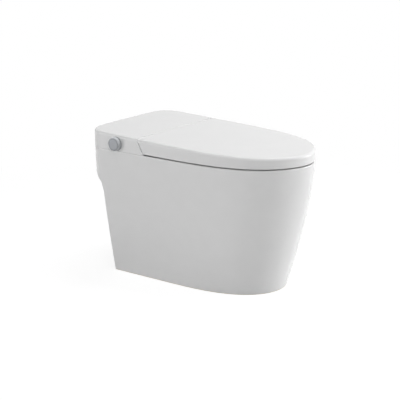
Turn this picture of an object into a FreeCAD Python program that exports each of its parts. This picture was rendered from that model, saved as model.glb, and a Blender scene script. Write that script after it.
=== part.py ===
import FreeCAD, Part
import math
import os
from FreeCAD import Vector as V

# Bidet toilet in one piece: a skirted china bowl with a rear compartment, a washing and drying unit under a
# rear cover, a heated seat and a lid.  Millimetres.  The origin is the centre of the waste outlet at floor
# level, +Z is up, the front of the bowl faces -Y and the seated user's right hand is on the -X side.

# Whole object
ROUGH_IN = 305.0
WALL_GAP = 12.0
LENGTH = 688.0
WIDTH = 390.0
RIM_Z = 398.0
TOP_RISE = 53.0
TOP_SLOPE = 0.028
TOP_CROWN = 2.0
REAR_CORNER_R = 66.0
WIDEST_Y = 76.0
PLAN_POWER = 4.0
PLAN_ROOT = 1.81
NOSE_STEPS = 8

# Seam between lid and rear cover, a leaning line in the side view
SEAM_FOOT_Y = 66.2
SEAM_LEAN = 0.55
SEAM_GAP = 2.5
LID_GAP = 4.5
COVER_SEAM = 0.5
COVER_WALL = 2.8
TOP_EDGE_R = 8.0
SEAM_EDGE_R = 1.2

# China body
BODY_INSET = 0.6
BASE_HALF_W = 153.5
BASE_WIDEST_Y = 28.5
BASE_NOSE_IN = 91.5
BASE_POWER = 3.2
BASE_ROOT = 2.05
BODY_SWELL = 1.5
BODY_LEVELS = 5
CHINA_WALL = 12.0
DECK_DEPTH = 22.0
RIM_EDGE_R = 3.0
BASE_REAR_IN = 75.0

# Step at the back of the body: each corner as far forward of the rear face and as far below the rim
STEP_TOP = (3.0, 70.0)
STEP_MID = (52.0, 111.0)
STEP_LOW = (60.0, 140.0)

# Bowl: how far the section has closed from rim to sump at each share of the depth
BOWL_FRONT_RIM = 46.0
BOWL_REAR_Y = 20.0
BOWL_HALF_W = 140.0
SUMP_FRONT_Y = -220.0
SUMP_REAR_Y = -140.0
SUMP_HALF_W = 36.0
SUMP_Z = 112.0
BOWL_PROFILE = (
    (-0.02, -0.09), (0.0, -0.045), (0.025, -0.01), (0.1, 0.03), (0.25, 0.14),
    (0.42, 0.36), (0.6, 0.66), (0.78, 0.9), (1.0, 1.0),
)
TRAP_R = 26.0
TRAP_BEND_R = 44.0
TRAP_CROWN_Z = 205.0
TRAP_TURN = 135.0
TRAP_RISE = 139.0
OUTLET_R = 38.0
OUTLET_DEPTH = 60.0
OUTLET_CONE = 25.0
SEAL_T = 12.0
SEAL_H = 18.0
SEAL_LIFT = 1.0

# Rear compartment of the china and the window from it into the bowl
POCKET_SIDE_RIM = 28.0
POCKET_FRONT_Y = 78.0
POCKET_BACK_Y = 242.0
POCKET_DEPTH = 92.0
POCKET_CORNER_R = 14.0
WINDOW_SIDE = 20.0
WINDOW_DEPTH = 46.0
FLUSH_X = -70.0
FLUSH_R = 9.0

# Chassis on the deck
GASKET_T = 1.0
GASKET_LAP = 3.0
CHASSIS_T = 2.5
CHASSIS_INSET = 6.0
BOLT_R = 3.0
BOLT_HEAD_R = 5.5
BOLT_HEAD_T = 4.0
SOCKET_R = 2.9
SOCKET_DEPTH = 2.5
INSERT_R = 6.0
INSERT_DEPTH = 20.0
BOLT_ROWS_Y = (112.0, 225.0)
SCREW_R = 2.0
SCREW_HEAD_R = 4.0
CROSS_LEN = 4.4
CROSS_W = 1.0
CROSS_DEPTH = 1.5
SCREW_LEN = 14.0
SCREW_X = 80.0
SCREW_LIFT = 12.0
LUG_HALF = 9.0
SNUG = 0.3

# Hinge of seat and lid
HINGE_BACK = 16.0
HINGE_DROP = 11.0
PIN_R = 4.0
EYE_R = 8.0
RUN_FIT = 0.08
ARM_T = 6.0
ARM_W = 12.0
ARM_RISE = 12.3
ARM_X = 96.5
ARM_SIDE_GAP = 2.0
POST_W = 6.0
POST_FRONT = 9.0
POST_BACK = 12.0
PIN_STUB = 2.0
LID_OPEN = 95.0
LID_RISER_BACK = 50.0
LID_FLANGE = 30.0
LID_FLANGE_T = 5.0
SLOT_TOP = 5.5
DAMPER_R = 9.0
DAMPER_LEN = 60.0

# Lid and seat
LID_WALL = 3.5
LID_TOP = 3.5
LID_DOOR_HALF = 150.0
LID_DOOR_H = 20.0
LINER_DROP = 6.5
LINER_T = 2.5
LID_RIB_T = 3.0
LID_RIB_X = 62.0
SEAT_BELOW = 14.0
SEAT_INSET = 8.0
SEAT_FLOAT = 5.0
SEAT_REAR_Y = 26.0
SEAT_HOLE_HALF_W = 112.0
SEAT_HOLE_FRONT = 78.0
SEAT_HOLE_REAR_Y = -22.0
SEAT_WALL = 3.0
SEAT_EDGE_R = 6.0
SEAT_ARM_GRIP = 34.0
HEATER_FOIL_T = 0.6
HEATER_FOIL_INSET = 7.0
BUMPER_R = 9.0
BUMPER_GAP = 0.2
BUMPER_SIDE_IN = 37.0
BUMPER_SIDE_Y = -60.0
BUMPER_NOSE_X = 116.0
BUMPER_NOSE_IN = 96.0

# Knob on the user's right
KNOB_Y = 171.0
KNOB_RISE = 22.7
KNOB_R = 21.3
KNOB_OUT = 14.5
KNOB_PRESS = 2.0
KNOB_WALL = 2.2
KNOB_EDGE_R = 4.0
KNOB_BOSS_R = 7.0
KNOB_FLANGE_T = 1.2
KNOB_FLANGE_LIP = 0.8
SHAFT_R = 4.0
SLEEVE_R = 8.0
SLEEVE_IN = 6.0
ENCODER_IN = 12.0
ENCODER_LEN = 24.0
ENCODER_HALF = 11.0
SLIDER_R = 6.0
SLIDER_T = 4.0
BRACKET_T = 3.0
BRACKET_HALF = 13.0
BRACKET_FOOT = 16.0

# Wash wand, tilted down towards the bowl, with a rack under it
WAND_R = 7.5
WAND_TAIL = 6.0
WAND_BORE_R = 2.5
WAND_TILT = 17.0
WAND_TIP_Y = 40.0
WAND_TIP_DROP = 24.0
WAND_TRAVEL = 100.0
TIP_LEN = 12.0
TIP_R = 8.5
SPRAY_R = 0.8
SPRAY_COUNT = 3
RACK_PITCH = 3.0
RACK_HALF_W = 2.5
RACK_SINK = 2.0
RACK_LINE = 1.2
TOOTH_OUT = 0.8
TOOTH_IN = 1.1
TOOTH_TIP_W = 0.6
TOOTH_ROOT_W = 1.6
PINION_TEETH = 12
PINION_AT = 44.0
PINION_HALF_W = 4.0
PINION_SHAFT_R = 2.5
CRADLE_HALF_W = 14.0
CRADLE_UP = 11.0
CRADLE_DOWN = 13.0
CRADLE_FRONT = 26.0
CRADLE_BACK = 160.0
CRADLE_SLOT_GAP = 0.5
CRADLE_EAR = 32.0
CRADLE_EAR_T = 3.5
CRADLE_EAR_Y = (115.0, 150.0)
CRADLE_OPENING_HALF = 36.0
CRADLE_OPENING_BACK_Y = 182.0
MOTOR_LUG_T = 6.0
MOTOR_R = 13.0
MOTOR_LEN = 18.0
MOTOR_BORE = 8.0

# Blower, duct and flap of the dryer
DUCT_X = 34.0
DUCT_W = 40.0
DUCT_H = 26.0
DUCT_WALL = 2.0
DUCT_FRONT_Y = 38.0
DUCT_DROP = 4.0
SCROLL_R = 44.0
SCROLL_Y = 175.0
SCROLL_H = 30.0
SCROLL_EYE_R = 24.0
IMPELLER_GAP = 5.0
IMPELLER_BLADES = 12
IMPELLER_HUB_R = 9.0
BLADE_T = 2.0
BLOWER_SHAFT_R = 3.0
BLOWER_MOTOR_R = 17.0
BLOWER_MOTOR_H = 24.0
FLAP_T = 2.0
FLAP_GAP = 1.0
FLAP_PIN_R = 1.5
FLAP_EAR_T = 3.0
FLAP_EAR_R = 4.5

# Water path
HEATER = (110.0, 64.0, 36.0)
HEATER_AT = (40.0, 198.0)
WASH_VALVE = (32.0, 24.0, 30.0)
WASH_VALVE_Y = 202.0
WARM_HOSE_Y = 214.0
WARM_HOSE_LIFT = 15.0
HOSE_R = 6.0
HOSE_BORE_R = 4.0
HOSE_HOLE_GAP = 1.0
INLET_SIDE = 50.0
INLET_Y = 210.0
INLET_THREAD_R = 10.478
INLET_BORE_R = 6.0
INLET_DROP = 30.0
INLET_THREAD_LEN = 16.0
INLET_NECK_R = 9.5
INLET_FLANGE_R = 16.0
INLET_FLANGE_T = 6.0
INLET_HOLE_GAP = 0.5
VALVE = (38.0, 32.0, 40.0)
COIL_R = 13.0
COIL_LEN = 24.0
COLD_PIPE_STEP = (13.0, 10.0)
PUMP_Y = 118.0
PUMP_LIFT = 36.0
VOLUTE_R = 34.0
VOLUTE_W = 30.0
VOLUTE_WALL = 3.0
PUMP_MOTOR_R = 27.0
PUMP_MOTOR_LEN = 60.0
PUMP_IMPELLER_R = 27.0
PUMP_IMPELLER_W = 14.0
PUMP_SHAFT_R = 3.0
PUMP_STUB_R = 12.0
PUMP_STUB_LEN = 14.0
SUPPLY_X = -20.0
SUPPLY_BEND_R = 14.0
FLUSH_PIPE_WALL = 2.0
FLUSH_PIPE_GRIP = 8.0

# Electrics
SUPPLY_BOX = (85.0, 66.0, 44.0)
SUPPLY_BOX_SIDE = 7.0
SUPPLY_BOX_Y = 155.0
CONTROL_BOX = (100.0, 62.0, 24.0)
CONTROL_BOX_SIDE = 15.0
CONTROL_BOX_Y = 198.0
BOX_CORNER_R = 4.0
BOARD_T = 1.6
RELAY = (19.0, 15.0, 15.0)
RELAY_COUNT = 3
CAPACITOR_R = 5.0
CAPACITOR_H = 17.0
PLUG_ROW = (60.0, 6.0, 8.0)
BOARD_MARGIN = 6.0
BOX_WALL = 2.0
GLAND_SIDE = 45.0
GLAND_Y = 232.0
GLAND_R = 8.0
GLAND_BORE_R = 4.0
GLAND_DROP = 26.0
GLAND_FLANGE_R = 8.5
GLAND_FLANGE_T = 4.0

# Levels and lines that follow from the sizes above
REAR_Y = ROUGH_IN - WALL_GAP
NOSE_Y = REAR_Y - LENGTH
HALF_W = WIDTH / 2
REAR_TOP_Z = RIM_Z + TOP_RISE
BASE_NOSE_Y = NOSE_Y + BASE_NOSE_IN
CROWN_R = HALF_W ** 2 / (2 * TOP_CROWN)
SEAM_RISE = REAR_TOP_Z - TOP_SLOPE * REAR_Y - RIM_Z
SEAM_TOP_Y = (SEAM_FOOT_Y + SEAM_LEAN * SEAM_RISE) / (1 - SEAM_LEAN * TOP_SLOPE)
SEAM_TOP_Z = REAR_TOP_Z + TOP_SLOPE * (SEAM_TOP_Y - REAR_Y)
HINGE_Y = SEAM_TOP_Y + HINGE_BACK
HINGE_Z = SEAM_TOP_Z - HINGE_DROP
ARM_REACH = HINGE_Z - RIM_Z - ARM_RISE
BODY_HALF_W = HALF_W - BODY_INSET
POCKET_HALF_W = BODY_HALF_W - POCKET_SIDE_RIM
FLOOR_Z = RIM_Z - POCKET_DEPTH
INLET_AT = (POCKET_HALF_W - INLET_SIDE, INLET_Y)
COLD_PIPE_AT = (INLET_AT[0] + COLD_PIPE_STEP[0], INLET_AT[1] + COLD_PIPE_STEP[1])
GLAND_AT = (GLAND_SIDE - POCKET_HALF_W, GLAND_Y)
SUPPLY_BOX_AT = (SUPPLY_BOX_SIDE - POCKET_HALF_W, SUPPLY_BOX_Y)
CONTROL_BOX_AT = (CONTROL_BOX_SIDE - POCKET_HALF_W, CONTROL_BOX_Y)
PLATE_LOW_Z = RIM_Z + GASKET_T
PLATE_Z = PLATE_LOW_Z + CHASSIS_T
COVER_LOW_Z = RIM_Z + COVER_SEAM
LID_LOW_Z = RIM_Z + LID_GAP
SEAT_LOW_Z = RIM_Z + SEAT_FLOAT
LINER_LOW = LINER_DROP + LINER_T
LID_ARM_X = ARM_X + ARM_W + ARM_SIDE_GAP
POST_IN_X = ARM_X - ARM_SIDE_GAP - POST_W
POST_OUT_X = LID_ARM_X + ARM_W + ARM_SIDE_GAP
BOLT_X = POCKET_HALF_W + POCKET_SIDE_RIM / 2
KNOB_Z = RIM_Z + KNOB_RISE
KNOB_BASE_X = -HALF_W - KNOB_FLANGE_T - SNUG - KNOB_PRESS
ENCODER_X = -HALF_W + ENCODER_IN
SLIDER_X = ENCODER_X + ENCODER_LEN / 2
PINION_R = PINION_TEETH * RACK_PITCH / (2 * math.pi)
RACK_N = -WAND_R - RACK_LINE
PINION_N = RACK_N - PINION_R
WAND_TIP_Z = RIM_Z - WAND_TIP_DROP
WAND_LEN = PINION_AT + WAND_TRAVEL + WAND_TAIL
SCROLL_X = DUCT_X + SCROLL_R
SCROLL_LOW_Z = PLATE_LOW_Z - SCROLL_H
DUCT_TOP_Z = PLATE_LOW_Z - DUCT_DROP
DUCT_LOW_Z = DUCT_TOP_Z - DUCT_H
DUCT_JOIN_Y = SCROLL_Y - SCROLL_R
PUMP_Z = FLOOR_Z + PUMP_LIFT
VOLUTE_X = FLUSH_X - VOLUTE_W / 2
FAR = 1000.0


# Plain solids

def box(x0, x1, y0, y1, z0, z1):
    return Part.makeBox(x1 - x0, y1 - y0, z1 - z0, V(x0, y0, z0))


def rod(radius, start, end):
    axis = end - start
    return Part.makeCylinder(radius, axis.Length, start, axis)


def tube(radius, bore, start, end):
    return rod(radius, start, end).cut(rod(bore, start, end))


def side_prism(points, x0, x1):
    """Prism along X over a polygon of (y, z) points."""
    corners = [V(x0, y, z) for y, z in points]
    return Part.Face(Part.makePolygon(corners + corners[:1])).extrude(V(x1 - x0, 0, 0))


def upright_edges(shape):
    return [e for e in shape.Edges if abs(e.tangentAt(e.FirstParameter).z) > 0.99]


def soft_box(x0, x1, y0, y1, z0, z1, radius):
    plain = box(x0, x1, y0, y1, z0, z1)
    return plain.makeFillet(radius, upright_edges(plain))


def mirrored(shape):
    return shape.mirror(V(0, 0, 0), V(1, 0, 0))


def both_sides(shape):
    return Part.makeCompound([shape, mirrored(shape)])


def joined(first, others):
    return first.fuse(others).removeSplitter()


def bent_hose(points, bend_r, radius, bore):
    """Hose along straight runs with a round bend at each inner point."""
    edges = []
    start = points[0]
    for before, corner, after in zip(points, points[1:], points[2:]):
        into = (corner - before).normalize()
        out = (after - corner).normalize()
        turn = into.getAngle(out)
        reach = bend_r * math.tan(turn / 2)
        first = corner - into * reach
        last = corner + out * reach
        inward = (out - into).normalize()
        middle = corner + inward * (bend_r / math.cos(turn / 2) - bend_r)
        edges.append(Part.makeLine(start, first))
        edges.append(Part.Arc(first, middle, last).toShape())
        start = last
    edges.append(Part.makeLine(start, points[-1]))
    path = Part.Wire(edges)
    heading = (points[1] - points[0]).normalize()
    outer = path.makePipeShell([Part.Wire(Part.makeCircle(radius, points[0], heading))], True, True)
    inner = path.makePipeShell([Part.Wire(Part.makeCircle(bore, points[0], heading))], True, True)
    return outer.cut(inner)


# Plan outlines and the crowned, sloping top that lid, liner, seat and cover share

def nose_curve(z, half_w, widest_y, nose_y, power, root):
    points = []
    for step in range(-NOSE_STEPS, NOSE_STEPS + 1):
        reach = math.cos(math.pi / 2 * step / NOSE_STEPS)
        half = half_w * max(0.0, 1 - reach ** power) ** (1 / root)
        points.append(V(math.copysign(half, step), widest_y - (widest_y - nose_y) * reach, z))
    curve = Part.BSplineCurve()
    curve.interpolate(Points=points, InitialTangent=V(0, -1, 0), FinalTangent=V(0, 1, 0))
    return curve.toShape()


def rear_edges(z, half, widest_y, rear, corner):
    """Straight sides back to a straight rear edge with two round corners."""
    bow = corner * (1 - math.sqrt(0.5))
    side_y = rear - corner
    rear_x = half - corner
    return [
        Part.makeLine(V(half, widest_y, z), V(half, side_y, z)),
        Part.Arc(V(half, side_y, z), V(half - bow, rear - bow, z), V(rear_x, rear, z)).toShape(),
        Part.makeLine(V(rear_x, rear, z), V(-rear_x, rear, z)),
        Part.Arc(V(-rear_x, rear, z), V(-half + bow, rear - bow, z), V(-half, side_y, z)).toShape(),
        Part.makeLine(V(-half, side_y, z), V(-half, widest_y, z)),
    ]


def plan_prism(inset, z):
    """Tall prism from z upwards over the top outline drawn in by inset."""
    half = HALF_W - inset
    nose_edge = nose_curve(z, half, WIDEST_Y, NOSE_Y + inset, PLAN_POWER, PLAN_ROOT)
    wire = Part.Wire([nose_edge] + rear_edges(z, half, WIDEST_Y, REAR_Y - inset, REAR_CORNER_R - inset))
    return Part.Face(wire).extrude(V(0, 0, FAR))


def crown_axis():
    """Front end and direction of the axis that the crowned top is round."""
    front_y = NOSE_Y - FAR / 2
    front_z = REAR_TOP_Z + TOP_SLOPE * (front_y - REAR_Y) + TOP_CROWN - CROWN_R * math.hypot(1, TOP_SLOPE)
    return V(0, front_y, front_z), V(0, 1, TOP_SLOPE).normalize()


def under_top(drop):
    """All the space lower than the top surface by at least drop."""
    front, along = crown_axis()
    return Part.makeCylinder(CROWN_R - drop, LENGTH + FAR, front, along)


def layer(upper, lower):
    """Space between two depths under the top surface."""
    return under_top(upper).cut(under_top(lower))


def on_top(edge, drop):
    front, along = crown_axis()
    middle = edge.valueAt((edge.FirstParameter + edge.LastParameter) / 2)
    return abs(middle.distanceToLine(front, along) - (CROWN_R - drop)) < 0.01


def seam_y(z):
    return SEAM_FOOT_Y + SEAM_LEAN * (z - RIM_Z)


def seam_side(shift, far_y):
    """Space on one side of the seam plane, moved back by shift square to the plane."""
    step = shift * math.hypot(1, SEAM_LEAN)
    low = RIM_Z - FAR / 4
    high = RIM_Z + FAR / 4
    points = [(seam_y(low) + step, low), (seam_y(high) + step, high), (far_y, high), (far_y, low)]
    return side_prism(points, -FAR, FAR)


def behind_seam(shift):
    return seam_side(shift, FAR)


def ahead_of_seam(shift):
    return seam_side(-shift, -FAR)


def on_seam(edge, shift):
    middle = edge.valueAt((edge.FirstParameter + edge.LastParameter) / 2)
    return abs((middle.y - seam_y(middle.z)) / math.hypot(1, SEAM_LEAN) - shift) < 0.01


def hood(low_z, inset, drop, side):
    """Closed block under the top surface on one side of the seam, before rounding."""
    return plan_prism(inset, low_z).common(under_top(drop)).common(side)


def rounded_hood(low_z, side, shift):
    """Hood with its long top edge rounded and the sharp edge at the seam eased."""
    plain = hood(low_z, 0, 0, side)
    rim = [e for e in plain.Edges if on_top(e, 0) and not on_seam(e, shift)]
    soft = plain.makeFillet(TOP_EDGE_R, rim)
    seam = [e for e in soft.Edges if on_seam(e, shift) and e.BoundBox.ZMax > low_z + 1]
    return soft.makeFillet(SEAM_EDGE_R, seam)


# China body

def body_section(z, inset):
    """Plan of the body at height z: straight sides and a nose that close in towards the floor."""
    share = 1 - (1 - z / RIM_Z) ** BODY_SWELL if z > 0 else BODY_SWELL * z / RIM_Z
    half = BASE_HALF_W + (BODY_HALF_W - BASE_HALF_W) * share - inset
    widest = BASE_WIDEST_Y + (WIDEST_Y - BASE_WIDEST_Y) * share
    nose = BASE_NOSE_Y + (NOSE_Y + BODY_INSET - BASE_NOSE_Y) * share + inset
    power = BASE_POWER + (PLAN_POWER - BASE_POWER) * share
    root = BASE_ROOT + (PLAN_ROOT - BASE_ROOT) * share
    nose_edge = nose_curve(z, half, widest, nose, power, root)
    rear = rear_edges(z, half, widest, REAR_Y - BODY_INSET, REAR_CORNER_R - BODY_INSET)
    return Part.Wire([nose_edge] + rear)


def body_loft(low_z, high_z, inset):
    levels = [low_z + (high_z - low_z) * n / (BODY_LEVELS - 1) for n in range(BODY_LEVELS)]
    return Part.makeLoft([body_section(z, inset) for z in levels], True, False)


def rear_relief():
    """Space taken off the back: the skirt stands forward of the overhanging deck."""
    rear = REAR_Y - BODY_INSET
    sole_y = rear - BASE_REAR_IN
    low, middle, top = [(rear - forward, RIM_Z - drop) for forward, drop in (STEP_LOW, STEP_MID, STEP_TOP)]
    lean = (low[0] - sole_y) / low[1]
    foot = (sole_y - lean * CHINA_WALL, -CHINA_WALL)
    return side_prism([foot, low, middle, top, (FAR, top[1]), (FAR, -CHINA_WALL)], -FAR, FAR)


def bowl(grow):
    front_top = NOSE_Y + BOWL_FRONT_RIM
    rings = []
    for depth, closed in BOWL_PROFILE:
        front = front_top + (SUMP_FRONT_Y - front_top) * closed - grow
        rear = BOWL_REAR_Y + (SUMP_REAR_Y - BOWL_REAR_Y) * closed + grow
        half = BOWL_HALF_W + (SUMP_HALF_W - BOWL_HALF_W) * closed + grow
        centre = V(0, (front + rear) / 2, RIM_Z - (RIM_Z - SUMP_Z) * depth - grow * max(depth, 0))
        long_end = centre + V(0, (rear - front) / 2, 0)
        side_end = centre + V(half, 0, 0)
        rings.append(Part.Wire(Part.Ellipse(long_end, side_end, centre).toShape()))
    return Part.makeLoft(rings, True, False)


def trapway(grow):
    """Up from the sump, over the weir and down to the outlet, with the wider mouth at the floor."""
    radius = TRAP_R + grow
    mouth = OUTLET_R + grow
    crown = V(0, 0, TRAP_CROWN_Z)
    pivot = V(0, -TRAP_BEND_R, TRAP_CROWN_Z)
    disc = Part.Face(Part.Wire(Part.makeCircle(radius, crown, V(0, 0, 1))))
    elbow = disc.revolve(pivot, V(1, 0, 0), TRAP_TURN)
    turn = math.radians(TRAP_TURN)
    top = pivot + V(0, math.cos(turn), math.sin(turn)) * TRAP_BEND_R
    foot = top + V(0, math.cos(turn + math.pi / 2), math.sin(turn + math.pi / 2)) * TRAP_RISE
    leg = rod(radius, foot, top)
    drop = rod(radius, V(0, 0, 0), crown)
    horn = rod(mouth, V(0, 0, 0), V(0, 0, OUTLET_DEPTH))
    cone = Part.makeCone(mouth, radius, OUTLET_CONE, V(0, 0, OUTLET_DEPTH), V(0, 0, 1))
    return elbow.fuse([leg, drop, horn, cone])


def window(grow, low_grow):
    """Way from the rear compartment into the bowl for wand and dryer, open at the top."""
    x1 = DUCT_X + DUCT_W + FLAP_EAR_T + 2 * FLAP_GAP + grow
    low = RIM_Z - WINDOW_DEPTH - low_grow
    return box(-WINDOW_SIDE - grow, x1, BOWL_REAR_Y - 2 * WINDOW_DEPTH, POCKET_FRONT_Y + 1, low, RIM_Z)


def flush_duct(grow):
    back = V(FLUSH_X, POCKET_FRONT_Y + 1, PUMP_Z)
    return rod(FLUSH_R + grow, back, V(FLUSH_X, BOWL_REAR_Y - 2 * WINDOW_DEPTH, PUMP_Z))


def pocket():
    half = POCKET_HALF_W
    return soft_box(-half, half, POCKET_FRONT_Y, POCKET_BACK_Y, FLOOR_Z, RIM_Z + 1, POCKET_CORNER_R)


def ways():
    """Every space that water, waste, wand and air pass through in the china."""
    return [bowl(0), trapway(0), pocket(), window(0, 0), flush_duct(0)]


def china_outside():
    outer = body_loft(0, RIM_Z, 0).cut(rear_relief())
    return outer.makeFillet(RIM_EDGE_R, [e for e in outer.Edges if e.BoundBox.ZMin > RIM_Z - 0.01])


def china_inside():
    """Space within the skirt's wall, open at the back."""
    return body_loft(-CHINA_WALL, RIM_Z, CHINA_WALL)


def insert_holes():
    places = [(x, y) for y in BOLT_ROWS_Y for x in (-BOLT_X, BOLT_X)]
    return [rod(INSERT_R, V(x, y, RIM_Z - INSERT_DEPTH), V(x, y, RIM_Z + 1)) for x, y in places]


def ceramic_skirt():
    """Outer casting: the wall from the floor to the rim, open below and behind."""
    return china_outside().cut(china_inside()).cut(insert_holes())


def ceramic_deck():
    """Deck casting within the top of the wall, with the rim of the bowl."""
    plate = box(-FAR, FAR, -FAR, FAR, RIM_Z - DECK_DEPTH, RIM_Z + 1)
    return china_outside().common(china_inside()).common(plate).cut(ways() + insert_holes())


def ceramic_compartment():
    """Tray casting under the rear deck that holds pump, supply and valve."""
    block = box(-FAR, FAR, POCKET_FRONT_Y - CHINA_WALL, FAR, FLOOR_Z - CHINA_WALL, RIM_Z - DECK_DEPTH)
    block = china_outside().common(china_inside()).common(block)
    below = FLOOR_Z - 2 * CHINA_WALL
    inlet = rod(INLET_THREAD_R + INLET_HOLE_GAP, V(*INLET_AT, below), V(*INLET_AT, FLOOR_Z + 1))
    gland = rod(GLAND_R, V(*GLAND_AT, below), V(*GLAND_AT, FLOOR_Z + 1))
    return block.cut(ways() + [inlet, gland])


def ceramic_bowl():
    """Bowl casting with the channel and the flush duct that lead to the rear compartment."""
    thick = bowl(CHINA_WALL).fuse([window(CHINA_WALL, CHINA_WALL), flush_duct(CHINA_WALL / 2)])
    front = box(-FAR, FAR, -FAR, POCKET_FRONT_Y - CHINA_WALL, -FAR, RIM_Z - DECK_DEPTH)
    return thick.common(front).cut(ways())


def ceramic_trapway():
    """Trapway casting from the sump over the weir to the outlet horn."""
    return trapway(CHINA_WALL).cut([trapway(0), bowl(CHINA_WALL)])


def outlet_seal():
    low = V(0, 0, SEAL_LIFT)
    return tube(OUTLET_R + CHINA_WALL + SEAL_T, OUTLET_R + CHINA_WALL, low, low + V(0, 0, SEAL_H))


# Chassis, its gasket and fixings, and the rear cover

def bolt_places():
    return [V(x, y, 0) for y in BOLT_ROWS_Y for x in (-BOLT_X, BOLT_X)]


def chassis_gasket():
    sheet = plan_prism(CHASSIS_INSET + GASKET_LAP, RIM_Z)
    sheet = sheet.common(box(-FAR, FAR, -FAR, FAR, RIM_Z, PLATE_LOW_Z))
    sheet = sheet.common(behind_seam(COVER_WALL + 2 * SNUG + GASKET_LAP))
    half = POCKET_HALF_W + GASKET_LAP
    hole = box(-half, half, POCKET_FRONT_Y - GASKET_LAP, POCKET_BACK_Y + GASKET_LAP, RIM_Z - 1, PLATE_Z)
    bolts = [rod(BOLT_R, p + V(0, 0, RIM_Z - 1), p + V(0, 0, PLATE_Z)) for p in bolt_places()]
    return sheet.cut([hole] + bolts)


def screw_places():
    return [V(x, REAR_Y, PLATE_Z + SCREW_LIFT) for x in (-SCREW_X, SCREW_X)]


def cover_screw(place):
    """Countersunk screw going forward from the back of the cover."""
    sink = SCREW_HEAD_R - SCREW_R
    head = Part.makeCone(SCREW_HEAD_R, SCREW_R, sink, place, V(0, -1, 0))
    return joined(head, [rod(SCREW_R, place, place - V(0, SCREW_LEN, 0))])


def hinge_posts():
    posts = []
    for x in (POST_IN_X, POST_OUT_X):
        post = box(x, x + POST_W, HINGE_Y - POST_FRONT, HINGE_Y + POST_BACK, PLATE_LOW_Z, HINGE_Z)
        crown = rod(EYE_R, V(x, HINGE_Y, HINGE_Z), V(x + POST_W, HINGE_Y, HINGE_Z))
        hole = rod(PIN_R, V(x - 1, HINGE_Y, HINGE_Z), V(x + POST_W + 1, HINGE_Y, HINGE_Z))
        post = post.fuse(crown).cut(hole)
        posts.extend([post, mirrored(post)])
    return posts


def chassis():
    plate = plan_prism(CHASSIS_INSET, PLATE_LOW_Z).common(box(-FAR, FAR, -FAR, FAR, PLATE_LOW_Z, PLATE_Z))
    plate = plate.common(behind_seam(COVER_WALL + 2 * SNUG))
    lugs = []
    for place in screw_places():
        back = REAR_Y - COVER_WALL - SNUG
        x0, x1 = place.x - LUG_HALF, place.x + LUG_HALF
        lugs.append(box(x0, x1, back - SCREW_LEN, back, PLATE_LOW_Z, place.z + LUG_HALF))
    body = joined(plate, hinge_posts() + lugs)
    half = CRADLE_OPENING_HALF
    holes = [box(-half, half, -FAR, CRADLE_OPENING_BACK_Y, PLATE_LOW_Z - 1, PLATE_Z + 1)]
    drill = [(BOLT_R, p) for p in bolt_places()]
    drill.append((BLOWER_SHAFT_R + 2 * SNUG, V(SCROLL_X, SCROLL_Y, 0)))
    drill.append((HOSE_R + HOSE_HOLE_GAP, V(*COLD_PIPE_AT, 0)))
    for radius, place in drill:
        holes.append(rod(radius, place + V(0, 0, PLATE_LOW_Z - 1), place + V(0, 0, PLATE_Z + 1)))
    holes.extend(cover_screw(place) for place in screw_places())
    return body.cut(holes)


def deck_inserts():
    low, high = V(0, 0, RIM_Z - INSERT_DEPTH), V(0, 0, RIM_Z)
    return Part.makeCompound([tube(INSERT_R, BOLT_R, p + low, p + high) for p in bolt_places()])


def hex_socket(top):
    angles = [math.radians(60 * n) for n in range(7)]
    corners = [top + V(SOCKET_R * math.cos(a), SOCKET_R * math.sin(a), 0) for a in angles]
    return Part.Face(Part.makePolygon(corners)).extrude(V(0, 0, -SOCKET_DEPTH))


def chassis_bolts():
    bolts = []
    for place in bolt_places():
        shank = rod(BOLT_R, place + V(0, 0, RIM_Z - INSERT_DEPTH + 1), place + V(0, 0, PLATE_Z))
        top = place + V(0, 0, PLATE_Z + BOLT_HEAD_T)
        head = rod(BOLT_HEAD_R, place + V(0, 0, PLATE_Z), top)
        bolts.append(joined(shank, [head]).cut(hex_socket(top)))
    return Part.makeCompound(bolts)


def rear_cover():
    shell = rounded_hood(COVER_LOW_Z, behind_seam(0), 0)
    shell = shell.cut(hood(RIM_Z - 1, COVER_WALL, COVER_WALL, behind_seam(COVER_WALL)))
    x0 = ARM_X - ARM_SIDE_GAP
    slot = box(x0, POST_OUT_X, SEAM_FOOT_Y - 1, HINGE_Y - EYE_R, PLATE_Z, HINGE_Z + SLOT_TOP)
    sleeve = rod(SLEEVE_R, V(-HALF_W - 1, KNOB_Y, KNOB_Z), V(-HALF_W + COVER_WALL + 1, KNOB_Y, KNOB_Z))
    return shell.cut([slot, mirrored(slot), sleeve] + [cover_screw(p) for p in screw_places()])


# Hinge pins, dampers and the bent arms that reach round the cover's front edge

def hinge_pins():
    end_x = POST_OUT_X + POST_W + PIN_STUB
    return both_sides(rod(PIN_R, V(POST_IN_X, HINGE_Y, HINGE_Z), V(end_x, HINGE_Y, HINGE_Z)))


def damper():
    start = V(POST_IN_X - DAMPER_LEN, HINGE_Y, HINGE_Z)
    barrel = rod(DAMPER_R, start, V(POST_IN_X, HINGE_Y, HINGE_Z))
    quarter = DAMPER_LEN / 4
    foot = box(start.x + quarter, start.x + 3 * quarter, HINGE_Y - PIN_R, HINGE_Y + PIN_R, PLATE_Z, HINGE_Z)
    return joined(barrel, [foot])


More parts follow.
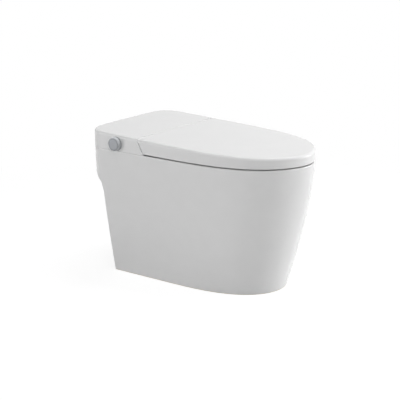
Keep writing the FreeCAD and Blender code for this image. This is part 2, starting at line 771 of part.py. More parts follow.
def arm_bar(points, x):
    """Flat bar of even thickness along (forward, up) points measured from the hinge."""
    half = ARM_T / 2
    pieces = []
    places = [V(x, HINGE_Y - forward, HINGE_Z + up) for forward, up in points]
    for place in places[1:]:
        pieces.append(rod(half, place, place + V(ARM_W, 0, 0)))
    for start, end in zip(places, places[1:]):
        along = (end - start).normalize()
        across = V(0, -along.z, along.y) * half
        corners = [start + across, end + across, end - across, start - across]
        pieces.append(side_prism([(c.y, c.z) for c in corners], x, x + ARM_W))
    eye = rod(EYE_R, places[0], places[0] + V(ARM_W, 0, 0))
    bore = rod(PIN_R + RUN_FIT, places[0] - V(1, 0, 0), places[0] + V(ARM_W + 1, 0, 0))
    return joined(eye, pieces).cut(bore)


def lid_arms():
    """Down from the hinge, forward under the seam and up to a flange under the lid's liner."""
    fall = LID_RISER_BACK * math.tan(math.radians(LID_OPEN - 90))
    foot = (LID_RISER_BACK, -ARM_REACH - fall)
    head = (LID_RISER_BACK, HINGE_DROP - LINER_LOW - ARM_T / 2)
    bar = arm_bar([(0, 0), (0, -ARM_REACH), foot, head], LID_ARM_X)
    riser_y = HINGE_Y - LID_RISER_BACK
    flange = box(LID_ARM_X, LID_ARM_X + ARM_W, riser_y - LID_FLANGE, riser_y + ARM_T / 2, RIM_Z, REAR_TOP_Z)
    flange = flange.common(layer(LINER_LOW, LINER_LOW + LID_FLANGE_T))
    return both_sides(joined(bar, [flange]))


def seat_arms():
    """Down from the hinge and straight forward into the back of the seat, with a foot on the seat base."""
    reach = HINGE_Y - SEAT_REAR_Y + SEAT_ARM_GRIP
    bar = arm_bar([(0, 0), (0, -ARM_REACH), (reach, -ARM_REACH)], ARM_X)
    y0, y1 = SEAT_REAR_Y - SEAT_ARM_GRIP, SEAT_REAR_Y - 2 * SEAT_WALL
    foot = box(ARM_X, ARM_X + ARM_W, y0, y1, SEAT_LOW_Z + SEAT_WALL, HINGE_Z - ARM_REACH)
    return both_sides(joined(bar, [foot]))


# Lid

def lid_shell():
    shell = rounded_hood(LID_LOW_Z, ahead_of_seam(SEAM_GAP), -SEAM_GAP)
    shell = shell.cut(hood(RIM_Z, LID_WALL, LID_TOP, ahead_of_seam(SEAM_GAP + LID_WALL)))
    door_y = SEAM_FOOT_Y - LID_WALL * 4
    shell = shell.cut(box(-LID_DOOR_HALF, LID_DOOR_HALF, door_y, HINGE_Y, RIM_Z, RIM_Z + LID_DOOR_H))
    ribs = []
    web = layer(LID_TOP - SNUG, LINER_DROP).common(plan_prism(4 * LID_WALL, RIM_Z))
    web = web.common(ahead_of_seam(4 * LID_WALL))
    for x in (-LID_RIB_X, 0, LID_RIB_X):
        ribs.append(web.common(box(x - LID_RIB_T / 2, x + LID_RIB_T / 2, -FAR, FAR, RIM_Z, REAR_TOP_Z + 1)))
    return joined(shell, ribs)


def lid_liner():
    side = ahead_of_seam(SEAM_GAP + LID_WALL + SNUG)
    return plan_prism(LID_WALL + SNUG, RIM_Z).common(layer(LINER_DROP, LINER_LOW)).common(side)


def bumper_places():
    pairs = ((HALF_W - BUMPER_SIDE_IN, BUMPER_SIDE_Y), (BUMPER_NOSE_X, NOSE_Y + BUMPER_NOSE_IN))
    return [V(side * x, y, 0) for x, y in pairs for side in (-1, 1)]


def lid_bumpers():
    gap = layer(LINER_LOW, SEAT_BELOW - BUMPER_GAP)
    posts = [rod(BUMPER_R, p + V(0, 0, RIM_Z), p + V(0, 0, REAR_TOP_Z)) for p in bumper_places()]
    return Part.makeCompound([post.common(gap) for post in posts])


# Seat

def seat_hole(grow):
    front = NOSE_Y + SEAT_HOLE_FRONT - grow
    rear = SEAT_HOLE_REAR_Y + grow
    centre = V(0, (front + rear) / 2, RIM_Z - 1)
    long_end = centre + V(0, (rear - front) / 2, 0)
    side_end = centre + V(SEAT_HOLE_HALF_W + grow, 0, 0)
    ring = Part.Ellipse(long_end, side_end, centre).toShape()
    return Part.Face(Part.Wire(ring)).extrude(V(0, 0, FAR))


def seat_block(draw_in, drop, low_z):
    """Ring-shaped block under the lid, drawn in from the seat's own outline and hole by draw_in."""
    block = plan_prism(SEAT_INSET + draw_in, low_z).common(under_top(SEAT_BELOW + drop))
    block = block.common(box(-FAR, FAR, -FAR, SEAT_REAR_Y - draw_in, RIM_Z, FAR))
    return block.cut(seat_hole(draw_in))


def seat_top():
    block = seat_block(0, 0, SEAT_LOW_Z)
    block = block.makeFillet(SEAT_EDGE_R, [e for e in block.Edges if on_top(e, SEAT_BELOW)])
    shell = block.cut(seat_block(SEAT_WALL, SEAT_WALL, SEAT_LOW_Z - 1))
    high = HINGE_Z - ARM_REACH + ARM_T / 2 + SNUG
    back = SEAT_REAR_Y
    notch = box(ARM_X - SNUG, ARM_X + ARM_W + SNUG, back - 2 * SEAT_WALL, back + 1, RIM_Z, high)
    return shell.cut([notch, mirrored(notch)])


def seat_base():
    plate = seat_block(SEAT_WALL + SNUG, SEAT_WALL, SEAT_LOW_Z)
    return plate.common(box(-FAR, FAR, -FAR, FAR, SEAT_LOW_Z, SEAT_LOW_Z + SEAT_WALL))


def seat_heater():
    ring = seat_block(HEATER_FOIL_INSET, SEAT_WALL, SEAT_LOW_Z)
    return ring.cut(under_top(SEAT_BELOW + SEAT_WALL + HEATER_FOIL_T))


def seat_bumpers():
    low, high = V(0, 0, RIM_Z + BUMPER_GAP), V(0, 0, SEAT_LOW_Z)
    return Part.makeCompound([rod(BUMPER_R, p + low, p + high) for p in bumper_places()])


# Knob: turn to choose, press to confirm

def knob_point(x):
    return V(x, KNOB_Y, KNOB_Z)


def knob_bushing():
    flange = rod(KNOB_R + KNOB_FLANGE_LIP, knob_point(-HALF_W - KNOB_FLANGE_T), knob_point(-HALF_W))
    sleeve = rod(SLEEVE_R, knob_point(-HALF_W), knob_point(-HALF_W + COVER_WALL + SLEEVE_IN))
    bore = rod(SHAFT_R + RUN_FIT, knob_point(-2 * HALF_W), knob_point(0))
    return joined(flange, [sleeve]).cut(bore)


def knob_cap():
    face_x = -HALF_W - KNOB_OUT
    cap = rod(KNOB_R, knob_point(face_x), knob_point(KNOB_BASE_X))
    cap = cap.makeFillet(KNOB_EDGE_R, [e for e in cap.Edges if e.BoundBox.XMax < face_x + 0.01])
    inside = knob_point(face_x + 2 * KNOB_WALL)
    hollow = tube(KNOB_R - KNOB_WALL, KNOB_BOSS_R, inside, knob_point(KNOB_BASE_X + 1))
    return cap.cut([hollow, rod(SHAFT_R, inside, knob_point(0))])


def knob_shaft():
    return rod(SHAFT_R, knob_point(-HALF_W - KNOB_OUT + 2 * KNOB_WALL), knob_point(SLIDER_X))


def push_slider():
    return rod(SLIDER_R, knob_point(SLIDER_X), knob_point(SLIDER_X + SLIDER_T))


def encoder():
    half = ENCODER_HALF
    x1 = ENCODER_X + ENCODER_LEN
    case = box(ENCODER_X, x1, KNOB_Y - half, KNOB_Y + half, KNOB_Z - half, KNOB_Z + half)
    bore = rod(SHAFT_R + RUN_FIT, knob_point(ENCODER_X - 1), knob_point(SLIDER_X))
    chamber_end = knob_point(SLIDER_X + SLIDER_T + KNOB_PRESS + SNUG)
    chamber = rod(SLIDER_R + RUN_FIT, knob_point(SLIDER_X - SNUG), chamber_end)
    return case.cut([bore, chamber])


def encoder_bracket():
    x0 = ENCODER_X + ENCODER_LEN
    y0, y1 = KNOB_Y - BRACKET_HALF, KNOB_Y + BRACKET_HALF
    wall = box(x0, x0 + BRACKET_T, y0, y1, PLATE_Z, KNOB_Z + BRACKET_HALF)
    foot = box(x0, x0 + BRACKET_FOOT, y0, y1, PLATE_Z, PLATE_Z + BRACKET_T)
    return joined(wall, [foot])


# Wash wand.  It is drawn level, running back along +Y from its tip, and then tilted into place.

def tilted(shape):
    placed = shape.copy()
    placed.rotate(V(0, 0, 0), V(1, 0, 0), WAND_TILT)
    placed.translate(V(0, WAND_TIP_Y, WAND_TIP_Z))
    return placed


def rack_profile():
    """Toothed underside of the wand as (along, up) points; a gap stands over the pinion at rest."""
    first = PINION_AT - 3.5 * RACK_PITCH
    count = int((WAND_LEN - first) / RACK_PITCH)
    root, tip = RACK_N + TOOTH_IN, RACK_N - TOOTH_OUT
    points = [(first - RACK_PITCH / 2, root)]
    for n in range(count):
        middle = first + n * RACK_PITCH
        points.append((middle - TOOTH_ROOT_W / 2, root))
        points.append((middle - TOOTH_TIP_W / 2, tip))
        points.append((middle + TOOTH_TIP_W / 2, tip))
        points.append((middle + TOOTH_ROOT_W / 2, root))
    last = first + (count - 0.5) * RACK_PITCH
    inside = -WAND_R + RACK_SINK
    return points + [(last, root), (last, inside), (first - RACK_PITCH / 2, inside)]


def nozzle_wand():
    barrel = rod(WAND_R, V(0, 0, 0), V(0, WAND_LEN, 0))
    rack = side_prism(rack_profile(), -RACK_HALF_W, RACK_HALF_W)
    bore = rod(WAND_BORE_R, V(0, TIP_LEN, 0), V(0, WAND_LEN + 1, 0))
    return tilted(joined(barrel, [rack]).cut(bore))


def nozzle_tip():
    cap = rod(TIP_R, V(0, -TIP_LEN, 0), V(0, 0, 0))
    cap = cap.makeFillet(TIP_R / 2, [e for e in cap.Edges if e.BoundBox.YMax < -TIP_LEN + 0.01])
    jets = []
    for n in range(SPRAY_COUNT):
        y = -TIP_LEN / 2 + (n - (SPRAY_COUNT - 1) / 2) * 2.5 * SPRAY_R
        jets.append(rod(SPRAY_R, V(0, y, 0), V(0, y, TIP_R + 1)))
    return tilted(cap.cut(jets))


def nozzle_pinion():
    points = []
    root_r, tip_r = PINION_R - TOOTH_IN, PINION_R + TOOTH_OUT
    for n in range(PINION_TEETH):
        for across, radius in ((-1, root_r), (-1, tip_r), (1, tip_r), (1, root_r)):
            width = TOOTH_ROOT_W if radius < PINION_R else TOOTH_TIP_W
            angle = math.pi / 2 + 2 * math.pi * n / PINION_TEETH + across * width / 2 / radius
            points.append((PINION_AT + radius * math.cos(angle), PINION_N + radius * math.sin(angle)))
    wheel = side_prism(points, -PINION_HALF_W, PINION_HALF_W)
    end_x = CRADLE_HALF_W + MOTOR_BORE - SNUG
    shaft = rod(PINION_SHAFT_R, V(0, PINION_AT, PINION_N), V(end_x, PINION_AT, PINION_N))
    return tilted(joined(wheel, [shaft]))


def nozzle_cradle():
    """Square guide round the wand with a slot for the rack, a lug for the motor and ears on the chassis."""
    block = box(-CRADLE_HALF_W, CRADLE_HALF_W, CRADLE_FRONT, CRADLE_BACK, -CRADLE_DOWN, CRADLE_UP)
    reach = PINION_R + TOOTH_OUT + 2 * SNUG
    lug_x = CRADLE_HALF_W - MOTOR_LUG_T
    y0, y1 = PINION_AT - MOTOR_R, PINION_AT + MOTOR_R
    lug = box(lug_x, CRADLE_HALF_W, y0, y1, PINION_N - MOTOR_R, -CRADLE_DOWN)
    bore = rod(WAND_R + RUN_FIT, V(0, 0, 0), V(0, CRADLE_BACK + 1, 0))
    slot_half = RACK_HALF_W + CRADLE_SLOT_GAP
    slot = box(-slot_half, slot_half, 0, CRADLE_BACK + 1, -CRADLE_DOWN - 1, 0)
    wheel_half = PINION_HALF_W + CRADLE_SLOT_GAP
    well = box(-wheel_half, wheel_half, PINION_AT - reach, PINION_AT + reach, PINION_N - reach, -WAND_R)
    shaft = rod(PINION_SHAFT_R + RUN_FIT, V(0, PINION_AT, PINION_N), V(FAR, PINION_AT, PINION_N))
    guide = tilted(joined(block, [lug]))
    ears = [box(x, x + CRADLE_EAR, *CRADLE_EAR_Y, PLATE_Z, PLATE_Z + CRADLE_EAR_T)
            for x in (CRADLE_HALF_W - 1, 1 - CRADLE_HALF_W - CRADLE_EAR)]
    return joined(guide, ears).cut([tilted(tool) for tool in (bore, slot, well, shaft)])


def nozzle_motor():
    start = V(CRADLE_HALF_W, PINION_AT, PINION_N)
    can = rod(MOTOR_R, start, start + V(MOTOR_LEN, 0, 0))
    return tilted(can.cut(rod(PINION_SHAFT_R + RUN_FIT, start, start + V(MOTOR_BORE, 0, 0))))


# Dryer

def scroll(inset):
    low = V(SCROLL_X, SCROLL_Y, SCROLL_LOW_Z + inset)
    return rod(SCROLL_R - inset, low, V(SCROLL_X, SCROLL_Y, PLATE_LOW_Z - inset))


def duct_box(inset, y0, y1):
    return box(DUCT_X + inset, DUCT_X + DUCT_W - inset, y0, y1, DUCT_LOW_Z + inset, DUCT_TOP_Z - inset)


def blower_housing():
    case = joined(scroll(0), [duct_box(0, DUCT_JOIN_Y, SCROLL_Y)])
    low = V(SCROLL_X, SCROLL_Y, SCROLL_LOW_Z - 1)
    eye = rod(SCROLL_EYE_R, low, low + V(0, 0, SCROLL_H / 2))
    shaft = rod(BLOWER_SHAFT_R + SNUG, low, V(SCROLL_X, SCROLL_Y, PLATE_Z))
    return case.cut([scroll(DUCT_WALL), duct_box(DUCT_WALL, DUCT_JOIN_Y - 1, SCROLL_Y), eye, shaft])


def blower_impeller():
    """Back disc, hub and straight blades on a shaft that runs up into the motor."""
    low_z = SCROLL_LOW_Z + IMPELLER_GAP
    high_z = PLATE_LOW_Z - IMPELLER_GAP
    centre = V(SCROLL_X, SCROLL_Y, 0)
    radius = SCROLL_R - DUCT_WALL - IMPELLER_GAP
    disc = rod(radius, centre + V(0, 0, high_z - BLADE_T), centre + V(0, 0, high_z))
    hub = rod(IMPELLER_HUB_R, centre + V(0, 0, low_z), centre + V(0, 0, high_z))
    shaft_top = PLATE_Z + BLOWER_MOTOR_H / 2 - SNUG
    shaft = rod(BLOWER_SHAFT_R, centre + V(0, 0, low_z), centre + V(0, 0, shaft_top))
    blades = []
    for n in range(IMPELLER_BLADES):
        x0, half = SCROLL_X + radius * 0.6, BLADE_T / 2
        blade = box(x0, SCROLL_X + radius - 1, SCROLL_Y - half, SCROLL_Y + half, low_z, high_z)
        blade.rotate(centre, V(0, 0, 1), 360.0 * n / IMPELLER_BLADES)
        blades.append(blade)
    return joined(disc, [hub, shaft] + blades)


def blower_motor():
    low = V(SCROLL_X, SCROLL_Y, PLATE_Z)
    can = rod(BLOWER_MOTOR_R, low, low + V(0, 0, BLOWER_MOTOR_H))
    return can.cut(rod(BLOWER_SHAFT_R + RUN_FIT, low, low + V(0, 0, BLOWER_MOTOR_H / 2)))


def flap_pivot():
    return DUCT_FRONT_Y - FLAP_GAP - FLAP_T / 2, DUCT_TOP_Z - FLAP_EAR_R + FLAP_PIN_R


def dryer_duct():
    """Square duct to the bowl with two ears that carry the flap."""
    duct = duct_box(0, DUCT_FRONT_Y, DUCT_JOIN_Y)
    y, z = flap_pivot()
    pieces = []
    for x in (DUCT_X - FLAP_EAR_T, DUCT_X + DUCT_W):
        ear = rod(FLAP_EAR_R, V(x, y, z), V(x + FLAP_EAR_T, y, z))
        root = box(x, x + FLAP_EAR_T, y, DUCT_FRONT_Y + 2 * FLAP_EAR_R, z - FLAP_EAR_R, z + FLAP_EAR_R)
        pieces.extend([ear, root])
    hole = duct_box(DUCT_WALL, DUCT_FRONT_Y - 1, DUCT_JOIN_Y + 1)
    x0, x1 = DUCT_X - FLAP_EAR_T - 1, DUCT_X + DUCT_W + FLAP_EAR_T + 1
    pin = rod(FLAP_PIN_R + RUN_FIT, V(x0, y, z), V(x1, y, z))
    return joined(duct, pieces).cut([hole, pin])


def dryer_flap():
    y, z = flap_pivot()
    x0, x1 = DUCT_X + SNUG, DUCT_X + DUCT_W - SNUG
    leaf = box(x0, x1, y - FLAP_T / 2, y + FLAP_T / 2, DUCT_LOW_Z, z)
    pin = rod(FLAP_PIN_R, V(DUCT_X - FLAP_EAR_T, y, z), V(DUCT_X + DUCT_W + FLAP_EAR_T, y, z))
    return joined(leaf, [pin])


# Water path

def standing_box(size, place, z, radius):
    x, y = place
    return soft_box(x, x + size[0], y, y + size[1], z, z + size[2], radius)


def water_heater():
    return standing_box(HEATER, HEATER_AT, PLATE_Z, BOX_CORNER_R)


def wash_valve():
    return standing_box(WASH_VALVE, (-WASH_VALVE[0] / 2, WASH_VALVE_Y), PLATE_Z, BOX_CORNER_R)


def warm_hose():
    z = PLATE_Z + WARM_HOSE_LIFT
    return tube(HOSE_R, HOSE_BORE_R, V(WASH_VALVE[0] / 2, WARM_HOSE_Y, z), V(HEATER_AT[0], WARM_HOSE_Y, z))


def valve_box():
    x, y = INLET_AT
    z = FLOOR_Z + INLET_FLANGE_T
    return x - VALVE[0] / 2, x + VALVE[0] / 2, y - VALVE[1] / 2, y + VALVE[1] / 2, z, z + VALVE[2]


def inlet_valve():
    x0, x1, y0, y1, z0, z1 = valve_box()
    coil_at = V(x1, INLET_AT[1], (z0 + z1) / 2)
    return joined(box(x0, x1, y0, y1, z0, z1), [rod(COIL_R, coil_at, coil_at + V(COIL_LEN, 0, 0))])


def inlet_fitting():
    place = V(*INLET_AT, FLOOR_Z)
    low = place - V(0, 0, INLET_DROP)
    thread = rod(INLET_THREAD_R, low, low + V(0, 0, INLET_THREAD_LEN))
    neck = rod(INLET_NECK_R, low, place)
    flange = rod(INLET_FLANGE_R, place, place + V(0, 0, INLET_FLANGE_T))
    bore = rod(INLET_BORE_R, place - V(0, 0, INLET_DROP + 1), place + V(0, 0, INLET_FLANGE_T + 1))
    return joined(thread, [neck, flange]).cut(bore)


def cold_hose():
    place = V(*COLD_PIPE_AT, 0)
    return tube(HOSE_R, HOSE_BORE_R, place + V(0, 0, valve_box()[5]), place + V(0, 0, PLATE_Z))


def pump_point(x):
    return V(x, PUMP_Y, PUMP_Z)


def flush_pump():
    """Round pump case on a foot, with a suction stub to the side and an outlet stub to the front."""
    x0, x1 = VOLUTE_X, VOLUTE_X + VOLUTE_W
    case = rod(VOLUTE_R, pump_point(x0), pump_point(x1))
    suction = rod(PUMP_STUB_R, pump_point(x1), pump_point(x1 + PUMP_STUB_LEN))
    front = V(FLUSH_X, PUMP_Y - VOLUTE_R - 2, PUMP_Z)
    outlet = rod(PUMP_STUB_R, pump_point(FLUSH_X), front)
    foot = box(x0, x1, PUMP_Y - VOLUTE_R / 2, PUMP_Y + VOLUTE_R / 2, FLOOR_Z, PUMP_Z)
    chamber = rod(VOLUTE_R - VOLUTE_WALL, pump_point(x0 + VOLUTE_WALL), pump_point(x1 - VOLUTE_WALL))
    inlet = rod(HOSE_BORE_R, pump_point(FLUSH_X), pump_point(x1 + PUMP_STUB_LEN + 1))
    way = rod(FLUSH_R - FLUSH_PIPE_WALL, pump_point(FLUSH_X), front - V(0, 1, 0))
    shaft = rod(PUMP_SHAFT_R + SNUG, pump_point(x0 - 1), pump_point(FLUSH_X))
    return joined(case, [suction, outlet, foot]).cut([chamber, inlet, way, shaft])


def flush_impeller():
    x0, x1 = FLUSH_X - PUMP_IMPELLER_W / 2, FLUSH_X + PUMP_IMPELLER_W / 2
    disc = rod(PUMP_IMPELLER_R, pump_point(x0), pump_point(x0 + BLADE_T))
    hub = rod(IMPELLER_HUB_R, pump_point(x0), pump_point(x1))
    shaft = rod(PUMP_SHAFT_R, pump_point(VOLUTE_X - PUMP_MOTOR_LEN / 4), pump_point(x0))
    blades = []
    for n in range(IMPELLER_BLADES // 2):
        half = BLADE_T / 2
        blade = box(x0, x1, PUMP_Y - half, PUMP_Y + half, PUMP_Z, PUMP_Z + PUMP_IMPELLER_R - 1)
        blade.rotate(pump_point(0), V(1, 0, 0), 360.0 * n / (IMPELLER_BLADES // 2))
        blades.append(blade)
    return joined(disc, [hub, shaft] + blades)


def flush_motor():
    can = rod(PUMP_MOTOR_R, pump_point(VOLUTE_X - PUMP_MOTOR_LEN), pump_point(VOLUTE_X))
    shaft_end = VOLUTE_X - PUMP_MOTOR_LEN / 4 - SNUG
    return can.cut(rod(PUMP_SHAFT_R + RUN_FIT, pump_point(shaft_end), pump_point(VOLUTE_X)))


def supply_hose():
    x0 = VOLUTE_X + VOLUTE_W + PUMP_STUB_LEN
    route = ((valve_box()[0], INLET_Y), (SUPPLY_X, INLET_Y), (SUPPLY_X, PUMP_Y), (x0, PUMP_Y))
    return bent_hose([V(x, y, PUMP_Z) for x, y in route], SUPPLY_BEND_R, HOSE_R, HOSE_BORE_R)


def flush_pipe():
    start = V(FLUSH_X, PUMP_Y - VOLUTE_R - 2, PUMP_Z)
    end = V(FLUSH_X, POCKET_FRONT_Y - FLUSH_PIPE_GRIP, PUMP_Z)
    return tube(FLUSH_R, FLUSH_R - FLUSH_PIPE_WALL, start, end)


# Electrics

def power_supply():
    return standing_box(SUPPLY_BOX, SUPPLY_BOX_AT, FLOOR_Z, BOX_CORNER_R)


def control_case():
    """Open tray that holds the control board."""
    tray = standing_box(CONTROL_BOX, CONTROL_BOX_AT, PLATE_Z, BOX_CORNER_R)
    x, y = CONTROL_BOX_AT
    room = box(x + BOX_WALL, x + CONTROL_BOX[0] - BOX_WALL, y + BOX_WALL, y + CONTROL_BOX[1] - BOX_WALL,
               PLATE_Z + BOX_WALL, PLATE_Z + CONTROL_BOX[2] + 1)
    return tray.cut(room)


def control_board():
    """Board with a row of relays, a capacitor beside each and a plug row along its front edge."""
    x, y = CONTROL_BOX_AT
    gap = BOX_WALL + SNUG
    z = PLATE_Z + BOX_WALL
    face = z + BOARD_T
    board = box(x + gap, x + CONTROL_BOX[0] - gap, y + gap, y + CONTROL_BOX[1] - gap, z, face)
    x0, y0 = x + gap + BOARD_MARGIN, y + gap + BOARD_MARGIN
    fitted = [box(x0, x0 + PLUG_ROW[0], y0, y0 + PLUG_ROW[1], z, face + PLUG_ROW[2])]
    y0 += PLUG_ROW[1] + BOARD_MARGIN
    for n in range(RELAY_COUNT):
        x1 = x0 + n * (RELAY[0] + BOARD_MARGIN)
        fitted.append(box(x1, x1 + RELAY[0], y0, y0 + RELAY[1], z, face + RELAY[2]))
        centre = V(x1 + RELAY[0] / 2, y0 + RELAY[1] + 2 * CAPACITOR_R, z)
        fitted.append(rod(CAPACITOR_R, centre, centre + V(0, 0, BOARD_T + CAPACITOR_H)))
    return joined(board, fitted)


def cable_gland():
    place = V(*GLAND_AT, FLOOR_Z)
    body = rod(GLAND_R, place - V(0, 0, GLAND_DROP), place)
    flange = rod(GLAND_FLANGE_R, place, place + V(0, 0, GLAND_FLANGE_T))
    bore = rod(GLAND_BORE_R, place - V(0, 0, GLAND_DROP + 1), place + V(0, 0, GLAND_FLANGE_T + 1))
    return joined(body, [flange]).cut(bore)


def cover_screws():
    screws = []
    for place in screw_places():
        cross = []
        for wide, high in ((CROSS_LEN / 2, CROSS_W / 2), (CROSS_W / 2, CROSS_LEN / 2)):
            y0, y1 = place.y - CROSS_DEPTH, place.y + 1
            cross.append(box(place.x - wide, place.x + wide, y0, y1, place.z - high, place.z + high))
        screws.append(cover_screw(place).cut(cross))
    return Part.makeCompound(screws)


def lid_damper():
    return damper()


def seat_damper():
    return mirrored(damper())


PIECES = (
    ceramic_skirt, ceramic_deck, ceramic_compartment, ceramic_bowl, ceramic_trapway, outlet_seal,
    chassis_gasket, chassis, deck_inserts, chassis_bolts, rear_cover, cover_screws,
    hinge_pins, lid_damper, seat_damper, lid_shell, lid_liner, lid_arms, lid_bumpers,
    seat_top, seat_base, seat_heater, seat_arms, seat_bumpers,
    knob_bushing, knob_cap, knob_shaft, push_slider, encoder, encoder_bracket,
    nozzle_cradle, nozzle_wand, nozzle_tip, nozzle_pinion, nozzle_motor,
    blower_housing, blower_impeller, blower_motor, dryer_duct, dryer_flap,
    water_heater, wash_valve, warm_hose, inlet_valve, inlet_fitting, cold_hose,
    flush_pump, flush_impeller, flush_motor, supply_hose, flush_pipe,
    power_supply, control_case, control_board, cable_gland,
)

os.makedirs("parts", exist_ok=True)
for piece in PIECES:
    piece().exportStep("parts/" + piece.__name__ + ".step")
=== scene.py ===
import math

import bmesh
import bpy
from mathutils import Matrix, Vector


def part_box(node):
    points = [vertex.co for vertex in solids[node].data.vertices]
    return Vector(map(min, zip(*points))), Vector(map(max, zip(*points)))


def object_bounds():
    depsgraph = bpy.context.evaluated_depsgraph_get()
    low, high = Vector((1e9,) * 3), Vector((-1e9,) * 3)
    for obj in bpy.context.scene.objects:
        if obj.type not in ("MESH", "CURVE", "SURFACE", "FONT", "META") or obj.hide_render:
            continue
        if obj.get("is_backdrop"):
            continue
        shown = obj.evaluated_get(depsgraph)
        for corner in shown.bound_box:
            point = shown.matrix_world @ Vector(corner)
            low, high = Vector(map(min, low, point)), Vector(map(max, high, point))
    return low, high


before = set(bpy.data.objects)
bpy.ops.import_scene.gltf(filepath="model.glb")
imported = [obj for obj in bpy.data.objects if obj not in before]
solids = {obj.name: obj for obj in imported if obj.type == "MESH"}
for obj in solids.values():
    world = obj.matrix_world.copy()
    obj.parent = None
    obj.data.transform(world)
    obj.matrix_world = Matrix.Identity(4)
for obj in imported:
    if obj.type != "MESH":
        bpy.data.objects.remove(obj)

cad_low, cad_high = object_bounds()
bpy.context.scene.view_settings.view_transform = "Standard"


# The skirt, deck, bowl, rear tray and trapway are slip castings of vitreous china, stuck together wet and
# fired as one. An opaque white glaze is sprayed on and pools into long soft waves with a fine peel. The
# sole is wiped bare, so it stays matt bisque where it stands on the floor.
def linear(colour):
    shares = [int(colour[at:at + 2], 16) / 255 for at in (1, 3, 5)]
    return [s / 12.92 if s <= 0.04045 else ((s + 0.055) / 1.055) ** 2.4 for s in shares] + [1.0]


def node(owner, kind, inputs, **settings):
    made = owner.node_tree.nodes.new("ShaderNode" + kind)
    for name, value in settings.items():
        setattr(made, name, value)
    for socket, value in inputs.items():
        if isinstance(value, bpy.types.NodeSocket):
            owner.node_tree.links.new(value, made.inputs[socket])
        else:
            made.inputs[socket].default_value = value
    return made


def finish(name):
    material = bpy.data.materials.new(name)
    material.use_nodes = True
    material.node_tree.nodes.clear()
    return material, node(material, "TexCoord", {}).outputs["Object"]


def dress(material, shade, *names):
    node(material, "OutputMaterial", {"Surface": shade.outputs["BSDF"]})
    for name in names:
        solids[name].data.materials.clear()
        solids[name].data.materials.append(material)


SOLE = 0.0022
GLAZE_POOL = 0.045
GLAZE_PEEL = 0.007
POOL_SHARE = 0.6
GLAZE_RELIEF = 0.00006
china, place = finish("glazed_vitreous_china")
level = node(china, "SeparateXYZ", {"Vector": place}).outputs["Z"]
bare = node(china, "MapRange", {"Value": level, "From Min": SOLE, "From Max": SOLE / 2}).outputs["Result"]
pool = node(china, "TexNoise", {"Vector": place, "Scale": 1 / GLAZE_POOL, "Detail": 2.0}).outputs["Fac"]
peel = node(china, "TexNoise", {"Vector": place, "Scale": 1 / GLAZE_PEEL, "Detail": 1.0}).outputs["Fac"]
glaze = node(china, "MixRGB", {"Fac": pool, "Color1": linear("#F0F0F0"), "Color2": linear("#ECECEC")})
skin = node(china, "MixRGB", {"Fac": bare, "Color1": glaze.outputs["Color"], "Color2": linear("#D9CFBE")})
gloss = node(china, "MapRange", {"Value": pool, "To Min": 0.08, "To Max": 0.14}).outputs["Result"]
dull = node(china, "Mix", {"Factor": bare, "A": gloss, "B": 0.85}).outputs["Result"]
waves = node(china, "Math", {0: pool, 1: POOL_SHARE, 2: peel}, operation="MULTIPLY_ADD").outputs["Value"]
relief = node(china, "Bump", {"Height": waves, "Strength": 0.5, "Distance": GLAZE_RELIEF})
shade = node(china, "BsdfPrincipled", {"Base Color": skin.outputs["Color"], "Roughness": dull, "IOR": 1.52,
                                       "Normal": relief.outputs["Normal"]})
dress(china, shade, "ceramic_skirt", "ceramic_deck", "ceramic_bowl", "ceramic_compartment", "ceramic_trapway")


# The ring round the outlet horn is moulded EPDM rubber and seals it to the drain. The thin gasket under the
# chassis and the sleeves in the deck's bolt holes are the same black rubber, dull, with a faint grey bloom
# in patches and a fine grain that is drawn at 1.6 mm so that it shows.
RUBBER_GRAIN = 0.0016
RUBBER_BLOOM = 0.0556
RUBBER_RELIEF = 0.0001
rubber, place = finish("moulded_epdm_rubber")
grain = node(rubber, "TexNoise", {"Vector": place, "Scale": 1 / RUBBER_GRAIN, "Detail": 3.0}).outputs["Fac"]
bloom = node(rubber, "TexNoise", {"Vector": place, "Scale": 1 / RUBBER_BLOOM, "Detail": 2.0}).outputs["Fac"]
tone = node(rubber, "MixRGB", {"Fac": bloom, "Color1": linear("#19191A"), "Color2": linear("#29292A")})
rough = node(rubber, "MapRange", {"Value": grain, "To Min": 0.65, "To Max": 0.85}).outputs["Result"]
relief = node(rubber, "Bump", {"Height": grain, "Strength": 0.4, "Distance": RUBBER_RELIEF})
shade = node(rubber, "BsdfPrincipled", {"Base Color": tone.outputs["Color"], "Roughness": rough,
                                        "Normal": relief.outputs["Normal"]})
dress(rubber, shade, "outlet_seal", "chassis_gasket", "deck_inserts")


# The chassis plate, the two hinge dampers and the pump and fan wheels are injection-moulded in grey
# glass-filled nylon. Short fibres show as faint streaks along the flow. They are drawn 1.5 mm wide, wider
# than the real ones.
FIBRE_LENGTH = 0.012
FIBRE_WIDTH = 0.0015
FIBRE_RELIEF = 0.00005
nylon, place = finish("glass_filled_nylon")
flow = node(nylon, "Mapping", {"Vector": place,
                               "Scale": (1 / FIBRE_WIDTH, 1 / FIBRE_LENGTH, 1 / FIBRE_WIDTH)})
streak = node(nylon, "TexNoise", {"Vector": flow.outputs["Vector"], "Scale": 1.0, "Detail": 2.0})
fibre = streak.outputs["Fac"]
tone = node(nylon, "MixRGB", {"Fac": fibre, "Color1": linear("#6B6E72"), "Color2": linear("#7D8084")})
rough = node(nylon, "MapRange", {"Value": fibre, "To Min": 0.42, "To Max": 0.6}).outputs["Result"]
relief = node(nylon, "Bump", {"Height": fibre, "Strength": 0.3, "Distance": FIBRE_RELIEF})
shade = node(nylon, "BsdfPrincipled", {"Base Color": tone.outputs["Color"], "Roughness": rough, "IOR": 1.53,
                                       "Normal": relief.outputs["Normal"]})
dress(nylon, shade, "chassis", "lid_damper", "seat_damper", "blower_impeller", "flush_impeller")


